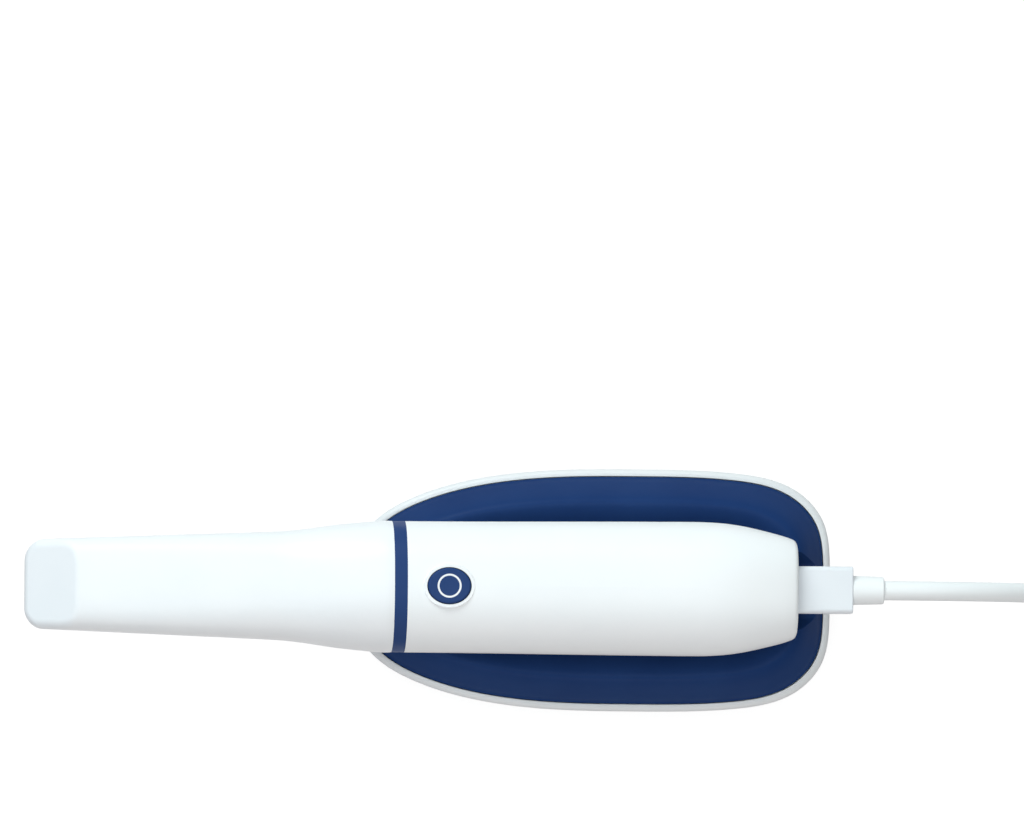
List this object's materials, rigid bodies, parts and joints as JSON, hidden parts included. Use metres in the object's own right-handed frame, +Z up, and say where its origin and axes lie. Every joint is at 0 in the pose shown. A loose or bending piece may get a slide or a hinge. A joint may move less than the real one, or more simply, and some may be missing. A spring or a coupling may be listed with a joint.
{
  "type": "intraoral scanner",
  "caption": "Hand-held dental scanner wand with a pull-off scanning tip, a capture button and a plug-in cable, lying in an oval weighted desk cradle with a padded foot.",
  "frame": {"origin": "centre of the cradle's foot on the table", "axes": "+X along the wand from the scanning head to the cable, +Y across it, +Z up"},
  "size_m": [0.3853, 0.0795, 0.049],
  "materials": {
    "white_casing": "smooth, slightly glossy",
    "tip_white": "smooth, slightly glossy",
    "blue_trim": "satin",
    "blue_tray": "satin",
    "cradle_white": "smooth, slightly glossy",
    "mark_white": "matte",
    "black_plastic": "matte",
    "seal_rubber": "matte",
    "foot_rubber": "matte",
    "cable_jacket": "satin",
    "plug_white": "satin",
    "tie_strap": "matte",
    "screw_steel": "brushed",
    "contact_steel": "polished",
    "ballast_steel": "rough",
    "chassis_metal": "satin",
    "barrel_black": "anodised, matte",
    "optical_glass": "clear",
    "mirror_face": "polished",
    "board_green": "satin",
    "flex_amber": "satin"
  },
  "bodies": {
    "scanner": {"upper_shell": "white_casing", "lower_shell": "white_casing", "collar_ring": "blue_trim", "tray": "blue_tray", "base_shell": "cradle_white", "switch_case": "black_plastic", "processor": "black_plastic", "base_plate": "black_plastic", "nose_barrel": "black_plastic", "tip_seal": "seal_rubber", "foot_pad": "foot_rubber", "shell_screws": "screw_steel", "button_board_screws": "screw_steel", "board_screws": "screw_steel", "chassis_screws": "screw_steel", "base_screws": "screw_steel", "usb_socket": "contact_steel", "ballast": "ballast_steel", "optical_chassis": "chassis_metal", "heat_sink": "chassis_metal", "projector_barrel": "barrel_black", "camera_barrel_left": "barrel_black", "camera_barrel_right": "barrel_black", "nose_window": "optical_glass", "projector_lens": "optical_glass", "camera_lens_left": "optical_glass", "camera_lens_right": "optical_glass", "button_board": "board_green", "main_board": "board_green", "led_board": "board_green", "sensor_board_left": "board_green", "sensor_board_right": "board_green", "sensor_flex_left": "flex_amber", "sensor_flex_right": "flex_amber"},
    "tip": {"tip_sleeve": "tip_white", "tip_mirror": "mirror_face"},
    "button": {"button_cap": "blue_trim", "button_ring": "mark_white", "switch_plunger": "black_plastic"},
    "cable": {"plug_body": "plug_white", "plug_contact_shell": "contact_steel", "strain_relief": "cable_jacket", "cable": "cable_jacket", "cable_tail": "cable_jacket", "cable_coil": "cable_jacket", "coil_tie": "tie_strap", "host_plug_body": "plug_white", "host_plug_shell": "contact_steel", "host_plug_insert": "black_plastic"}
  },
  "joints": [
    {"name": "tip_pull", "type": "slide", "parent": "scanner", "child": "tip", "axis": [-1, 0, 0], "range_m": [0, 0.057]},
    {"name": "button_press", "type": "slide", "parent": "scanner", "child": "button", "axis": [0, 0, -1], "range_m": [0, 0.0004], "stiffness_N_per_m": 1500, "springref_m": -0.0006},
    {"name": "plug_pull", "type": "slide", "parent": "scanner", "child": "cable", "axis": [1, 0, 0], "range_m": [0, 0.0075]}
  ]
}
